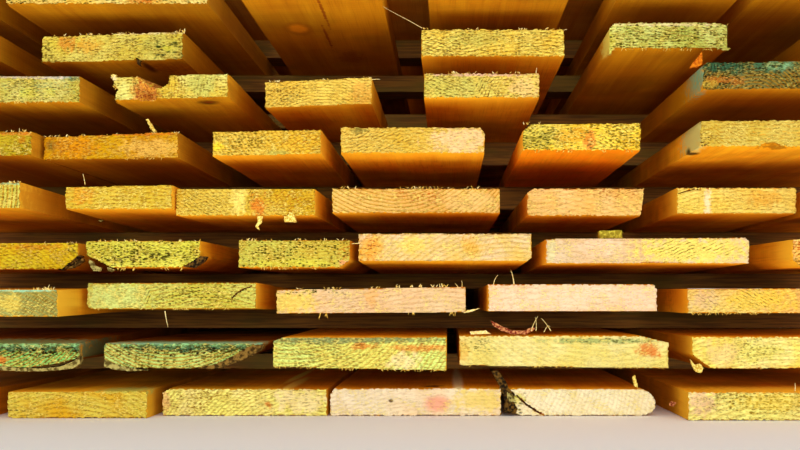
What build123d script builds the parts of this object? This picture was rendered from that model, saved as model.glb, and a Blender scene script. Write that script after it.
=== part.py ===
from build123d import *
from dataclasses import dataclass
from math import hypot
import os

# A stack of rough-sawn softwood boards with spacer battens between its courses, in millimetres.
# +Z is up and the boards run along Y, with the ends that show facing -Y.
# The origin is on the floor under the middle of the stack.

# Sizes of the whole stack
board_length = 2400.0
stack_width = 1000.0

# Spacer battens, called stickers: they lie across the boards, in lines one above the other
sticker_width = 40.0
sticker_lines = 4
sticker_overhang = 6.0
first_line_setback = 240.0
last_line_setback = 250.0

# Thickness of the stickers on each course, from the floor up
sticker_thickness = [18.0, 21.5, 17.5, 23.0, 26.5, 27.0, 17.0, 20.0, 22.0]

# How far each sticker lies from its line towards the back, from the floor up
sticker_stray = [0.0, -14.0, 10.0, 0.0, -9.0, -14.0, 34.0, 30.0, 40.0]

# A board bends beyond the first sticker: the share of its end lift halfway along that overhang
halfway_lift_share = 0.36

# How far a round edge stands out from the straight line between its ends, as a share of its height
round_bulge = 0.18


@dataclass
class Board:
    """One board as it lies in its course.

    gap is the clear distance to the board on its left, and reach is how far its front end
    stands out beyond the others. lift raises the left and right edge of the front end, and thin
    makes the front end thinner there. The corners give the width and height of the wood that is
    missing along that edge. That edge is the log's round outside, or else a flat wane.
    """
    gap: float
    width: float
    thick: float
    reach: float = 0.0
    lift: tuple = (0.0, 0.0)
    thin: tuple = (0.0, 0.0)
    bottom_left: tuple = (0.0, 0.0)
    bottom_right: tuple = (0.0, 0.0)
    top_right: tuple = (0.0, 0.0)
    top_left: tuple = (0.0, 0.0)
    log_side: bool = False


# The courses from the floor up, each from left to right
courses = [
    [
        Board(gap=5, width=127, thick=25.4, reach=4),
        Board(gap=20, width=128, thick=25.4, reach=17, thin=(1, 0)),
        Board(gap=8, width=154, thick=25.5, top_left=(6, 4)),
        Board(gap=2, width=160, thick=26, top_left=(4, 6)),
        Board(gap=4, width=140, thick=26, thin=(0, 1), bottom_left=(16, 15), top_right=(14, 13),
              bottom_right=(14, 8), log_side=True),
        Board(gap=21, width=225, thick=26, reach=33),
    ],
    [
        Board(gap=2, width=210, thick=31, thin=(7, 7), bottom_left=(60, 18), bottom_right=(62, 13),
              log_side=True),
        Board(gap=22, width=147, thick=24, bottom_left=(32, 4), bottom_right=(66, 22), log_side=True),
        Board(gap=13.8, width=158.4, thick=31, reach=20, lift=(3, -0.5), thin=(4, 0), top_left=(8, 4)),
        Board(gap=11.5, width=195.3, thick=31, lift=(3, 0), thin=(3, 0), top_right=(27, 6.5)),
        Board(gap=21, width=216, thick=30, bottom_left=(18, 13)),
    ],
    [
        Board(gap=6, width=206.4, thick=25.6, reach=50, lift=(-3.4, -3.4), thin=(1.6, 1.6)),
        Board(gap=5.6, width=158, thick=24.5, lift=(3, 3.4), top_left=(2, 2), bottom_left=(2, 3)),
        Board(gap=18, width=177, thick=24, lift=(-1.5, 0), thin=(1.5, 0)),
        Board(gap=20.3, width=158, thick=25.6, lift=(0.8, 0.8), top_right=(3, 5)),
        Board(gap=27.7, width=215, thick=24, lift=(-1, -1), thin=(1, 0)),
    ],
    [
        Board(gap=0, width=199, thick=25.6, reach=-28, lift=(-2.4, -2.4), bottom_right=(16, 13)),
        Board(gap=18, width=107, thick=25.4, lift=(-1.7, -1.7), bottom_left=(24, 12),
              bottom_right=(18, 10)),
        Board(gap=35, width=104.4, thick=26, lift=(-1.7, -1.7), bottom_right=(10, 7)),
        Board(gap=9.6, width=157.3, thick=25.4, reach=25, lift=(3.4, 3.4), bottom_right=(4, 3)),
        Board(gap=14, width=188, thick=24.4, reach=8, lift=(1.9, 1.9), thin=(1.4, 0), top_right=(3, 4)),
        Board(gap=29.8, width=131, thick=25, reach=33, lift=(-2, -2), bottom_left=(8, 6)),
    ],
    [
        Board(gap=7, width=161, thick=23.5, reach=25, lift=(2.6, 2.6)),
        Board(gap=33, width=99, thick=23, reach=8, lift=(2.9, 2.9), thin=(2.3, 0)),
        Board(gap=0.8, width=130.2, thick=25.2, lift=(-2.4, -2.4)),
        Board(gap=15, width=157, thick=23.5),
        Board(gap=26, width=111, thick=26.5, reach=-13, lift=(-1.4, -1.4), bottom_right=(3.3, 25),
              top_left=(6, 4)),
        Board(gap=30, width=113, thick=25, reach=-11, lift=(0.6, 0.6)),
        Board(gap=15, width=101, thick=25, reach=10),
    ],
    [
        Board(gap=5, width=163.4, thick=23, reach=3),
        Board(gap=3.6, width=127.4, thick=25, reach=-13, lift=(-1.3, 0.6), thin=(3.3, 0)),
        Board(gap=36.6, width=101, thick=23, reach=4, lift=(-0.7, 1.6)),
        Board(gap=19, width=132, thick=24.3, reach=17, top_right=(4, 5)),
        Board(gap=33, width=106.3, thick=25, reach=33, thin=(1.2, 0), top_left=(8, 6)),
        Board(gap=46.8, width=218, thick=23.7, reach=53, top_left=(2, 3)),
    ],
    [
        Board(gap=2, width=210, thick=25, lift=(-2, -2)),
        Board(gap=33.1, width=107, thick=22, reach=8, lift=(-2, 1.5)),
        Board(gap=27.9, width=102.2, thick=25.6, reach=-17, lift=(-3.3, 0.5), thin=(1, 0)),
        Board(gap=49.8, width=106.6, thick=23, reach=11),
        Board(gap=139.4, width=215, thick=24.6, reach=47, lift=(-0.9, 0.9), top_left=(4, 3)),
    ],
    [
        Board(gap=4, width=122, thick=25, reach=6),
        Board(gap=42, width=135, thick=27, reach=-17, lift=(-3, 0), thin=(2.3, 0), top_left=(3, 3)),
        Board(gap=226, width=134.9, thick=26.3, reach=-7),
        Board(gap=36, width=108, thick=24, reach=21, top_right=(17, 2.5), top_left=(8, 12),
              log_side=True),
        Board(gap=87.1, width=100, thick=25, reach=5),
    ],
    [
        Board(gap=6, width=109, thick=24, reach=6),
        Board(gap=27, width=189, thick=24),
        Board(gap=33, width=130, thick=23.5, reach=22),
        Board(gap=42, width=129, thick=24, reach=19),
        Board(gap=44, width=111, thick=24, reach=28),
        Board(gap=15, width=160, thick=23, reach=15),
    ],
]

# The top course lies above the photographed ones: its ends are plain
top_course = [
    Board(gap=4, width=166, thick=25, reach=2),
    Board(gap=22, width=150, thick=24, reach=-6),
    Board(gap=24, width=90, thick=25, reach=10),
    Board(gap=24, width=170, thick=24.5, reach=-4),
    Board(gap=22, width=158, thick=25, reach=6),
    Board(gap=22, width=143, thick=24),
]


@dataclass
class Tear:
    """Wood torn out of a board's front end, or a lip of torn wood that stands out from it.

    course and board count from 1, from the floor and from the left. outline is its shape on the end,
    as points across from the board's left edge and up from its underside, anticlockwise as seen from
    the front. It runs back along the board, and shrinks towards tip on the way.
    """
    course: int
    board: int
    outline: list
    run: float
    tip: tuple
    lip: bool = False


def crack(line, opening):
    """A thin gap along a line of points, closed at both of its ends."""
    across, up = line[-1][0] - line[0][0], line[-1][1] - line[0][1]
    share = opening / hypot(across, up)
    other_side = [(x - up * share, z + across * share) for x, z in line[1:-1]]
    return line + other_side[::-1]


# How wide a tear still is at its inner end, and how far its outline stands in front of the end
tear_end_share = 0.1
tear_start = 1.0

tears = [
    # The broken end of the second board in the seventh course: a wedge torn out of the top face,
    # the hollow of its torn fibres below, a splintered left edge and the frayed corner on it
    Tear(7, 2, [(20.7, 23.5), (27.2, 18.9), (34.6, 13.5), (41, 10.6), (46.5, 11.3), (51.2, 14.8),
                (51.9, 23.5)], run=78, tip=(40, 24)),
    Tear(7, 2, [(21.7, 18.6), (19.4, 11.2), (21.7, 2.9), (30.9, -3), (41, -3), (39.2, 4.2), (41, 9.9),
                (34.6, 13.2)], run=14, tip=(31, 6)),
    Tear(7, 2, [(-3, -2), (1.2, -2), (2, 4), (3, 7.5), (5, 10.5), (2.5, 12), (0.2, 14.5), (1, 16.5),
                (1, 25), (-3, 25)], run=52, tip=(-2, 11)),
    Tear(7, 2, [(0.5, 18), (3, 17), (5, 21.5), (3, 24), (-1.5, 23.7), (-2.5, 21.5)], run=20,
         tip=(3.5, 20), lip=True),
    # The fourth board in the eighth course has a torn lip under each lower corner
    Tear(8, 4, [(0, 2.7), (0.3, -5.9), (1.8, -6.8), (4.1, -1.8), (6.8, 0.5), (6.8, 2.7)], run=26,
         tip=(4, 1.5), lip=True),
    Tear(8, 4, [(99.3, 1.5), (98, -0.8), (106.6, -2.3), (111.1, -1.4), (111.6, 0.5), (104, 3)], run=22,
         tip=(103, 1.2), lip=True),
    # Nicks and dips in lower edges
    Tear(8, 2, [(88.2, -1), (93.5, -1), (93, 1.4), (91.1, 2.8), (89.7, 1.8)], run=14, tip=(91, -1)),
    Tear(6, 6, [(52.3, -1), (71.5, -1), (69.8, 2.1), (65.4, 3.6), (59.3, 3.4), (54, 2.6)], run=36,
         tip=(62, -1)),
    Tear(5, 3, [(102.8, -1), (111.2, -1), (108.4, 2.8), (106.5, 5.6)], run=11, tip=(107, -1)),
    # Drying cracks
    Tear(1, 5, crack([(9.8, 20), (13.6, 15.4), (20, 9.8), (28.8, 4.1), (36, 0.8)], 0.7), run=60,
         tip=(18, 11)),
    Tear(3, 2, crack([(134.6, 5), (135.6, 9.9), (140.4, 14.7), (147, 18.5), (154, 21.2)], 0.5), run=70,
         tip=(142, 15)),
    Tear(5, 6, crack([(1.9, 19.3), (12.2, 22.1), (23.6, 23.9)], 0.5), run=40, tip=(10, 21.4)),
]

reaches = [board.reach for course in courses + [top_course] for board in course]
front_y = (max(reaches) + min(reaches) - board_length) / 2
left_x = -stack_width / 2
last_line_y = front_y + board_length - last_line_setback - sticker_width / 2
first_line_y = front_y + first_line_setback + sticker_width / 2
line_spacing = (last_line_y - first_line_y) / (sticker_lines - 1)


def course_levels():
    """The height of each course's underside, and of the top course's as the last value."""
    levels = [0.0]
    for course, spacer in zip(courses, sticker_thickness):
        thickest = max(board.thick for board in course)
        levels.append(levels[-1] + thickest + spacer)
    return levels


def left_edges(course):
    """Where each board of a course starts across the stack."""
    edges = []
    x = left_x
    for board in course:
        x += board.gap
        edges.append(x)
        x += board.width
    return edges


def corner_points(board):
    """A board's section from its lower left edge round, with two points at each missing edge."""
    width, thick = board.width, board.thick
    corners = [
        (board.bottom_left, (0, 0), (0, 1), (1, 0)),
        (board.bottom_right, (width, 0), (-1, 0), (0, 1)),
        (board.top_right, (width, thick), (0, -1), (-1, 0)),
        (board.top_left, (0, thick), (1, 0), (0, -1)),
    ]
    outline = []
    for (across, up), (x, z), before, after in corners:
        if across > 0:
            outline.append([(x + before[0] * across, z + before[1] * up),
                            (x + after[0] * across, z + after[1] * up)])
        else:
            outline.append([(x, z)])
    return outline


def place_point(point, board, left, bottom, y, share):
    """A point of a board's section at y, with that share of its end lift and of its thinner end."""
    x, z = point
    across = x / board.width
    lift = board.lift[0] + (board.lift[1] - board.lift[0]) * across
    thin = board.thin[0] + (board.thin[1] - board.thin[0]) * across
    height = z * (1 - share * thin / board.thick)
    return (left + x, y, bottom + height + share * lift)


def section(board, left, bottom, y, share):
    """A board's outline at y, with that share of its end lift and of its thinner end."""
    corners = [[place_point(point, board, left, bottom, y, share) for point in corner]
               for corner in corner_points(board)]
    edges = []
    for index, corner in enumerate(corners):
        if len(corner) == 2 and board.log_side:
            edges.append(round_edge(corner[0], corner[1], board, left, bottom))
        elif len(corner) == 2:
            edges.append(Line(corner[0], corner[1]))
        edges.append(Line(corner[-1], corners[(index + 1) % 4][0]))
    return Wire(edges)


def round_edge(start, end, board, left, bottom):
    """The round edge of the log, standing out from the straight line between its two ends."""
    bulge = round_bulge * abs(end[2] - start[2])
    middle_x = (start[0] + end[0]) / 2
    middle_z = (start[2] + end[2]) / 2
    sideways = 1 if middle_x > left + board.width / 2 else -1
    upwards = 1 if middle_z > bottom + board.thick / 2 else -1
    middle = (middle_x + sideways * bulge, start[1], middle_z + upwards * bulge)
    return ThreePointArc(start, middle, end)


def board_solid(board, left, bottom, bend_y):
    """A board from its front end to its back end: it bends only in front of bend_y."""
    start_y = front_y - board.reach
    end_y = start_y + board_length
    bent = any(board.lift) or any(board.thin)
    straight_y = bend_y if bent else start_y
    straight_outline = section(board, left, bottom, straight_y, 0.0)
    solid = Solid.extrude(Face(straight_outline), Vector(0, end_y - straight_y, 0))
    if bent:
        halfway_y = (start_y + bend_y) / 2
        outlines = [
            section(board, left, bottom, start_y, 1.0),
            section(board, left, bottom, halfway_y, halfway_lift_share),
            straight_outline,
        ]
        solid = solid.fuse(Solid.make_loft(outlines, ruled=True))
    return solid


def tear_solid(tear, board, left, bottom):
    """The wood that a tear takes out of a board's end, or that its lip adds there."""
    end_y = front_y - board.reach
    tip_x, tip_z = tear.tip
    shrunk = [(tip_x + (x - tip_x) * tear_end_share, tip_z + (z - tip_z) * tear_end_share)
              for x, z in tear.outline]
    start_y = end_y if tear.lip else end_y - tear_start
    outlines = [
        [place_point(point, board, left, bottom, start_y, 1.0) for point in tear.outline],
        [place_point(point, board, left, bottom, end_y + tear.run, 1.0) for point in shrunk],
    ]
    wires = [Wire(Polyline(*outline, close=True)) for outline in outlines]
    return Solid.make_loft(wires, ruled=True)


def torn_end(solid, number, place, board, left, bottom):
    """The board with its own tears taken out of it and its lips added to it."""
    for tear in tears:
        if (tear.course, tear.board) == (number + 1, place + 1):
            torn = tear_solid(tear, board, left, bottom)
            solid = solid.fuse(torn) if tear.lip else solid.cut(torn)
    return solid


def sticker_solid(line, level, thick, stray):
    """One sticker across the whole stack, lying on the course below."""
    length = stack_width + 2 * sticker_overhang
    middle_y = first_line_y + line * line_spacing + stray
    sticker = Solid.make_box(length, sticker_width, thick)
    return sticker.moved(Location((-length / 2, middle_y - sticker_width / 2, level)))


def build_course(number, course, level, bend_y):
    """Every board of one course as its own solid."""
    solids = []
    for place, (board, left) in enumerate(zip(course, left_edges(course))):
        solid = board_solid(board, left, level, bend_y)
        solids.append(torn_end(solid, number, place, board, left, level))
    return solids


def write(shape, node):
    """One STEP file for one node."""
    export_step(shape, f"parts/{node}.step")


os.makedirs("parts", exist_ok=True)
levels = course_levels()

for number, course in enumerate(courses):
    nearest_stray = min(sticker_stray[max(number - 1, 0)], sticker_stray[number])
    bend_y = first_line_y - sticker_width / 2 + nearest_stray
    for place, solid in enumerate(build_course(number, course, levels[number], bend_y)):
        write(solid, f"course_{number + 1}_board_{place + 1}")

write(Compound(build_course(len(courses), top_course, levels[-1], front_y)), "top_course_boards")

for line in range(sticker_lines):
    stickers = []
    for number, (thick, stray) in enumerate(zip(sticker_thickness, sticker_stray)):
        stickers.append(sticker_solid(line, levels[number + 1] - thick, thick, stray))
    write(Compound(stickers), f"stickers_line_{line + 1}")
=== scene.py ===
from math import pi, radians
from random import Random

import bmesh
import bpy
from mathutils import Matrix, Vector, noise


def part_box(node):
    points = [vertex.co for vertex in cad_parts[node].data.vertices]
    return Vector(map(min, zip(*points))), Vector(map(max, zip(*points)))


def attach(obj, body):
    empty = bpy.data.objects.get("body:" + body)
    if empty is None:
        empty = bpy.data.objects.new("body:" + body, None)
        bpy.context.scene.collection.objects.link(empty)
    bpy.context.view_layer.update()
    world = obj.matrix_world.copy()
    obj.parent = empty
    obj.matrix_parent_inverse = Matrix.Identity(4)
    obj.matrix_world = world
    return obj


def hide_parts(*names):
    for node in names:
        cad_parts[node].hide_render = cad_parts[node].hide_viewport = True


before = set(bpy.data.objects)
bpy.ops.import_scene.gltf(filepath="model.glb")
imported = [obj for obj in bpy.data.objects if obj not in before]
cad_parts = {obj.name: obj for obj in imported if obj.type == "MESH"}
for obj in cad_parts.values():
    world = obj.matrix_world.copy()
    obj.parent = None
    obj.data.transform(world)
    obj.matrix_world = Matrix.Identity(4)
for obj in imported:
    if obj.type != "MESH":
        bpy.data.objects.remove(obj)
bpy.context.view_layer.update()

# The view: straight on to the board ends, with the eye low down, at the lowest third of the stack.
# The lens is shifted and not tilted, so that the ends keep their true shapes.
eye = Vector((0.0543, -2.0375, 0.108))
camera_data = bpy.data.cameras.new("camera")
camera_data.sensor_width = 36
camera_data.lens = 41.12
camera_data.shift_x = -0.06
camera_data.shift_y = 0.09375
camera = bpy.data.objects.new("camera", camera_data)
camera.location = eye
camera.rotation_euler = (radians(90), 0, 0)
bpy.context.scene.collection.objects.link(camera)
bpy.context.scene.camera = camera

# Where the eye's own height and place show in the photograph, and pixels for one metre at one metre
eye_u, eye_v, lens_scale = 448, 300, 913.8


def seen(u, v, y):
    """The place in metres that shows at a pixel of the photograph, on the upright plane at y."""
    away = (y - eye.y) / lens_scale
    return Vector((eye.x + (u - eye_u) * away, y, eye.z + (eye_v - v) * away))


# Boards of the first course, on the floor: rough-sawn softwood about 25 mm thick, sawn from logs
# into random widths and stacked to dry. Their ends are fresh, bright and torn by the saw, and
# their faces have darkened to orange and brown.
def srgb(red, green, blue):
    """A colour as it shows on a screen, from 0 to 255, as Blender's linear colour."""
    channels = [channel / 255 for channel in (red, green, blue)]
    return tuple(c / 12.92 if c < 0.04045 else ((c + 0.055) / 1.055) ** 2.4 for c in channels) + (1.0,)


# Tones of wood, bark and mould, each as three numbers from 0 to 255
cream = (250, 226, 168)
butter = (249, 215, 88)
straw = (238, 194, 58)
lime = (222, 216, 70)
mustard = (188, 134, 14)
honey = (233, 162, 40)
amber = (255, 188, 34)
toffee = (242, 150, 18)
peach = (249, 204, 126)
pink = (236, 158, 116)
orange = (222, 116, 34)
ember = (190, 88, 12)
chestnut = (166, 88, 10)
rust = (140, 60, 8)
umber = (84, 48, 6)
soot = (30, 22, 6)
olive = (108, 82, 2)
moss = (72, 66, 4)
sage = (190, 188, 84)
mint = (150, 204, 160)
teal = (62, 112, 80)
slate = (92, 92, 40)
lilac = (214, 196, 184)


def add(tree, kind, sockets=None, **settings):
    """A new node: each socket gets a value, or a link where the value is another node's output."""
    new = tree.nodes.new("ShaderNode" + kind)
    for key, value in settings.items():
        setattr(new, key, value)
    for key, value in (sockets or {}).items():
        if isinstance(value, bpy.types.NodeSocket):
            tree.links.new(value, new.inputs[key])
        else:
            new.inputs[key].default_value = value
    return new


def calc(tree, operation, *values):
    """The result of a maths node."""
    return add(tree, "Math", dict(enumerate(values)), operation=operation).outputs[0]


def times(tree, one, other):
    """Two values multiplied."""
    return calc(tree, "MULTIPLY", one, other)


def plus(tree, one, other):
    """Two values added."""
    return calc(tree, "ADD", one, other)


def minus(tree, one, other):
    """One value less another."""
    return calc(tree, "SUBTRACT", one, other)


def vector_calc(tree, operation, *values):
    """The result of a vector maths node."""
    return add(tree, "VectorMath", dict(enumerate(values)), operation=operation).outputs[0]


def stretch(tree, place, amounts):
    """A place multiplied along each axis: the smaller the amount, the longer a pattern runs."""
    return vector_calc(tree, "MULTIPLY", place, amounts)


def ramp(tree, value, low, high, start=0.0, end=1.0):
    """A soft step from start to end while the value goes from low to high."""
    sockets = {"Value": value, "From Min": low, "From Max": high, "To Min": start, "To Max": end}
    return add(tree, "MapRange", sockets, interpolation_type="SMOOTHSTEP").outputs[0]


def blend(tree, factor, below, above, mode="MIX"):
    """One colour laid over another: each is three numbers from 0 to 255, or another node's output."""
    below, above = [srgb(*tone) if isinstance(tone, tuple) else tone for tone in (below, above)]
    sockets = {0: factor, 6: below, 7: above}
    return add(tree, "Mix", sockets, data_type="RGBA", blend_type=mode).outputs[2]


def mottle(tree, place, scale, detail=2.0, distortion=0.0):
    """Soft noise between 0 and 1, at a scale in lumps per millimetre."""
    sockets = {"Vector": place, "Scale": scale, "Detail": detail, "Distortion": distortion}
    return add(tree, "TexNoise", sockets).outputs[0]


def effect(name, inputs, outputs):
    """A node group with its sockets, and its ends to build between."""
    tree = bpy.data.node_groups.new(name, "ShaderNodeTree")
    for side, sockets in (("INPUT", inputs), ("OUTPUT", outputs)):
        for label, kind in sockets.items():
            tree.interface.new_socket(label, in_out=side, socket_type="NodeSocket" + kind)
    return tree, tree.nodes.new("NodeGroupInput").outputs, tree.nodes.new("NodeGroupOutput").inputs


def use(tree, group, sockets):
    """A group placed in a material, with its own values."""
    return add(tree, "Group", sockets, node_tree=group).outputs


def make_growth_rings():
    """Year rings on an end: dark late wood lines round the pith, and a tone for each year."""
    tree, given, result = effect(
        "growth rings", {"Place": "Vector", "Pith": "Vector", "Ring Width": "Float", "Wander": "Float"},
        {"Line": "Float", "Tone": "Float"})
    offset = vector_calc(tree, "SUBTRACT", given["Place"], given["Pith"])
    parts = add(tree, "SeparateXYZ", {0: offset}).outputs
    flat = add(tree, "CombineXYZ", {0: parts[0], 2: parts[2]}).outputs[0]
    radius = add(tree, "VectorMath", {0: flat}, operation="LENGTH").outputs["Value"]
    bend = minus(tree, mottle(tree, given["Place"], 0.035, 3.0), 0.5)
    radius = plus(tree, radius, times(tree, bend, given["Wander"]))
    year = calc(tree, "DIVIDE", radius, given["Ring Width"])
    part = calc(tree, "FRACT", year)
    late = times(tree, ramp(tree, part, 0.35, 0.8), ramp(tree, part, 0.86, 1.0, 1.0, 0.0))
    tree.links.new(late, result["Line"])
    tone = add(tree, "TexWhiteNoise", {"W": calc(tree, "FLOOR", year)}, noise_dimensions="1D").outputs[0]
    tree.links.new(tone, result["Tone"])
    return tree


def make_saw_grit():
    """Torn specks that the saw leaves on an end: dark pits and pale crushed fibres, in clusters."""
    tree, given, result = effect(
        "saw grit", {"Place": "Vector", "Grain": "Float", "Seed": "Float", "Bias": "Float"},
        {"Dark": "Float", "Pale": "Float", "Tone": "Float"})
    seed = add(tree, "CombineXYZ", {0: given["Seed"], 1: given["Seed"], 2: given["Seed"]}).outputs[0]
    place = vector_calc(tree, "ADD", given["Place"], seed)
    squat = stretch(tree, place, (0.46, 0.2, 1.05))
    density = calc(tree, "DIVIDE", 1.0, given["Grain"])
    noisy = {"Vector": squat, "Scale": density, "Detail": 2.0, "Roughness": 0.75}
    speck = add(tree, "TexNoise", noisy).outputs[0]
    cluster = times(tree, minus(tree, mottle(tree, place, 0.11, 2.0), 0.5), 0.6)
    cells = add(tree, "TexVoronoi", {"Vector": squat, "Scale": density}).outputs
    chance_of_pit = add(tree, "SeparateColor", {0: cells["Color"]}).outputs[0]
    amount = plus(tree, plus(tree, chance_of_pit, cluster), given["Bias"])
    ragged = minus(tree, times(tree, speck, 0.7), 0.4)
    inside = minus(tree, ramp(tree, amount, 0.25, 1.0, 0.0, 0.75), cells["Distance"])
    tree.links.new(ramp(tree, plus(tree, inside, ragged), -0.02, 0.38), result["Dark"])
    tree.links.new(ramp(tree, minus(tree, speck, cluster), 0.48, 0.34), result["Pale"])
    tree.links.new(ramp(tree, plus(tree, speck, cluster), 0.4, 0.66), result["Tone"])
    return tree


def make_torn_fibres():
    """Broken lines of torn fibres or saw strokes across an end, at an angle."""
    tree, given, result = effect(
        "torn fibres", {"Place": "Vector", "Angle": "Float", "Spacing": "Float"}, {"Line": "Float"})
    turned = add(tree, "VectorRotate", {"Vector": given["Place"], "Angle": given["Angle"]},
                 rotation_type="Y_AXIS").outputs[0]
    parts = add(tree, "SeparateXYZ", {0: turned}).outputs
    reach = times(tree, given["Spacing"], 1.6)
    wander = times(tree, mottle(tree, given["Place"], 0.12, 2.0), reach)
    stroke = calc(tree, "FRACT", calc(tree, "DIVIDE", plus(tree, parts[2], wander), given["Spacing"]))
    line = times(tree, ramp(tree, stroke, 0.45, 0.72), ramp(tree, stroke, 0.78, 1.0, 1.0, 0.0))
    long_place = stretch(tree, turned, (0.28, 0.1, 1.2))
    breaks = ramp(tree, mottle(tree, long_place, 0.8, 2.0), 0.42, 0.6)
    tree.links.new(times(tree, line, breaks), result["Line"])
    return tree


def make_stain():
    """A patch with a ragged edge, as a mask round a centre with its half sizes."""
    tree, given, result = effect(
        "stain", {"Place": "Vector", "Centre": "Vector", "Size": "Vector", "Ragged": "Float"},
        {"Mask": "Float"})
    offset = vector_calc(tree, "SUBTRACT", given["Place"], given["Centre"])
    offset = vector_calc(tree, "DIVIDE", offset, given["Size"])
    reach = add(tree, "VectorMath", {0: offset}, operation="LENGTH").outputs["Value"]
    rough = minus(tree, mottle(tree, given["Place"], 0.2, 5.0), 0.5)
    reach = plus(tree, reach, times(tree, rough, given["Ragged"]))
    tree.links.new(ramp(tree, reach, 1.3, 0.5), result["Mask"])
    return tree


def make_long_grain():
    """Grain that runs along a board's face: broad streaks, fine fibres and the saw's cross marks."""
    tree, given, result = effect(
        "long grain", {"Place": "Vector", "Seed": "Float"},
        {"Streak": "Float", "Fibre": "Float", "Saw": "Float"})
    seed = add(tree, "CombineXYZ", {0: given["Seed"], 2: given["Seed"]}).outputs[0]
    place = vector_calc(tree, "ADD", given["Place"], seed)
    streak = mottle(tree, stretch(tree, place, (0.09, 0.004, 0.09)), 1.0, 3.0, 0.6)
    tree.links.new(streak, result["Streak"])
    fibre = mottle(tree, stretch(tree, place, (0.9, 0.018, 0.9)), 1.0, 2.0)
    tree.links.new(fibre, result["Fibre"])
    parts = add(tree, "SeparateXYZ", {0: place}).outputs
    across = plus(tree, parts[1], times(tree, parts[0], 0.12))
    uneven = times(tree, mottle(tree, place, 0.04, 2.0), 9.0)
    tooth_step = 6.5
    wave = calc(tree, "SINE", times(tree, plus(tree, across, uneven), 2 * pi / tooth_step))
    tree.links.new(plus(tree, times(tree, wave, 0.5), 0.5), result["Saw"])
    return tree


growth_rings = make_growth_rings()
saw_grit = make_saw_grit()
torn_fibres = make_torn_fibres()
stain = make_stain()
long_grain = make_long_grain()


# Millimetres in a metre: patterns and marks are in millimetres, and shapes in metres
per_metre = 1000


def start_material(name):
    """A new material with its shader and the place on the piece in millimetres."""
    material = bpy.data.materials.new(name)
    material.use_nodes = True
    tree = material.node_tree
    place = stretch(tree, add(tree, "TexCoord").outputs["Object"], (per_metre,) * 3)
    return material, tree, place, tree.nodes["Principled BSDF"]


def finish_material(tree, shader, colour, height, roughness, strength, depth, gloss=0.5):
    """A material's colour, roughness and gloss, and its relief with a depth in metres."""
    tree.links.new(colour, shader.inputs["Base Color"])
    shader.inputs["Roughness"].default_value = roughness
    shader.inputs["Specular IOR Level"].default_value = gloss
    bump = add(tree, "Bump", {"Height": height, "Strength": strength, "Distance": depth})
    tree.links.new(bump.outputs[0], shader.inputs["Normal"])


def seed_of(name):
    """A number from the letters of a name, so that each piece has patterns of its own."""
    return float(sum(ord(letter) for letter in name))


def lay_marks(tree, place, colour, marks):
    """Stains and marks laid over a colour, each as kind, colour, centre, half size and strength.

    A wash is plain, knots and strips of painted light are plain with a clean edge, specks and blots
    are dotted, and a number as kind is the angle of torn lines.
    """
    dot_size = {"specks": 1.4, "blots": 2.6}
    for kind, tint, centre, size, strength in marks:
        ragged = 0.5 if kind == "knot" else 2.4
        patch = {"Place": place, "Centre": centre, "Size": size, "Ragged": ragged}
        mask = times(tree, use(tree, stain, patch)["Mask"], strength)
        if kind in dot_size:
            dots = {"Place": place, "Grain": dot_size[kind], "Seed": centre[0], "Bias": 0.3}
            mask = times(tree, mask, use(tree, saw_grit, dots)["Dark"])
        elif kind not in ("wash", "knot"):
            lines = {"Place": place, "Angle": radians(kind), "Spacing": 2.8}
            mask = times(tree, mask, use(tree, torn_fibres, lines)["Line"])
        colour = blend(tree, mask, colour, tint)
    return colour


# How little dry sawn wood shines, and the tones of fibres that the saw crushed and of pits between them
dull = 0.03
crushed = (255, 230, 112)
pitted = (214, 186, 116)


def end_grain(name, pale, deep, pith, ring, lines, grit, grit_tint, fibre, marks, dust):
    """The sawn end of a board: rings round the pith, torn specks and fibres, and its own marks."""
    material, tree, place, shader = start_material(name + " end")
    drift = ramp(tree, mottle(tree, place, 0.028, 3.0), 0.36, 0.64)
    colour = blend(tree, drift, pale, deep)
    rings = use(tree, growth_rings, {"Place": place, "Pith": pith, "Ring Width": ring, "Wander": 5.0})
    late = times(tree, rings["Line"], lines)
    colour = blend(tree, late, colour, mustard)
    colour = blend(tree, times(tree, rings["Tone"], 0.25 * lines), colour, honey)
    angle, spacing, tearing = fibre
    torn = use(tree, torn_fibres, {"Place": place, "Angle": radians(angle), "Spacing": spacing})["Line"]
    colour = blend(tree, times(tree, torn, tearing), colour, chestnut)
    colour = lay_marks(tree, place, colour, marks)
    bias = plus(tree, times(tree, late, 0.3), times(tree, torn, 0.5 * tearing))
    specks = use(tree, saw_grit, {"Place": place, "Grain": 1.35, "Seed": seed_of(name), "Bias": bias})
    colour = blend(tree, times(tree, specks["Pale"], dust), colour, crushed)
    colour = blend(tree, times(tree, specks["Tone"], 0.75 * grit), colour, pitted, "MULTIPLY")
    colour = blend(tree, times(tree, specks["Dark"], grit), colour, grit_tint)
    height = minus(tree, specks["Pale"], times(tree, specks["Dark"], 1.2))
    height = minus(tree, height, torn)
    finish_material(tree, shader, colour, height, roughness=0.85, strength=0.6, depth=0.0008, gloss=dull)
    return material


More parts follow.
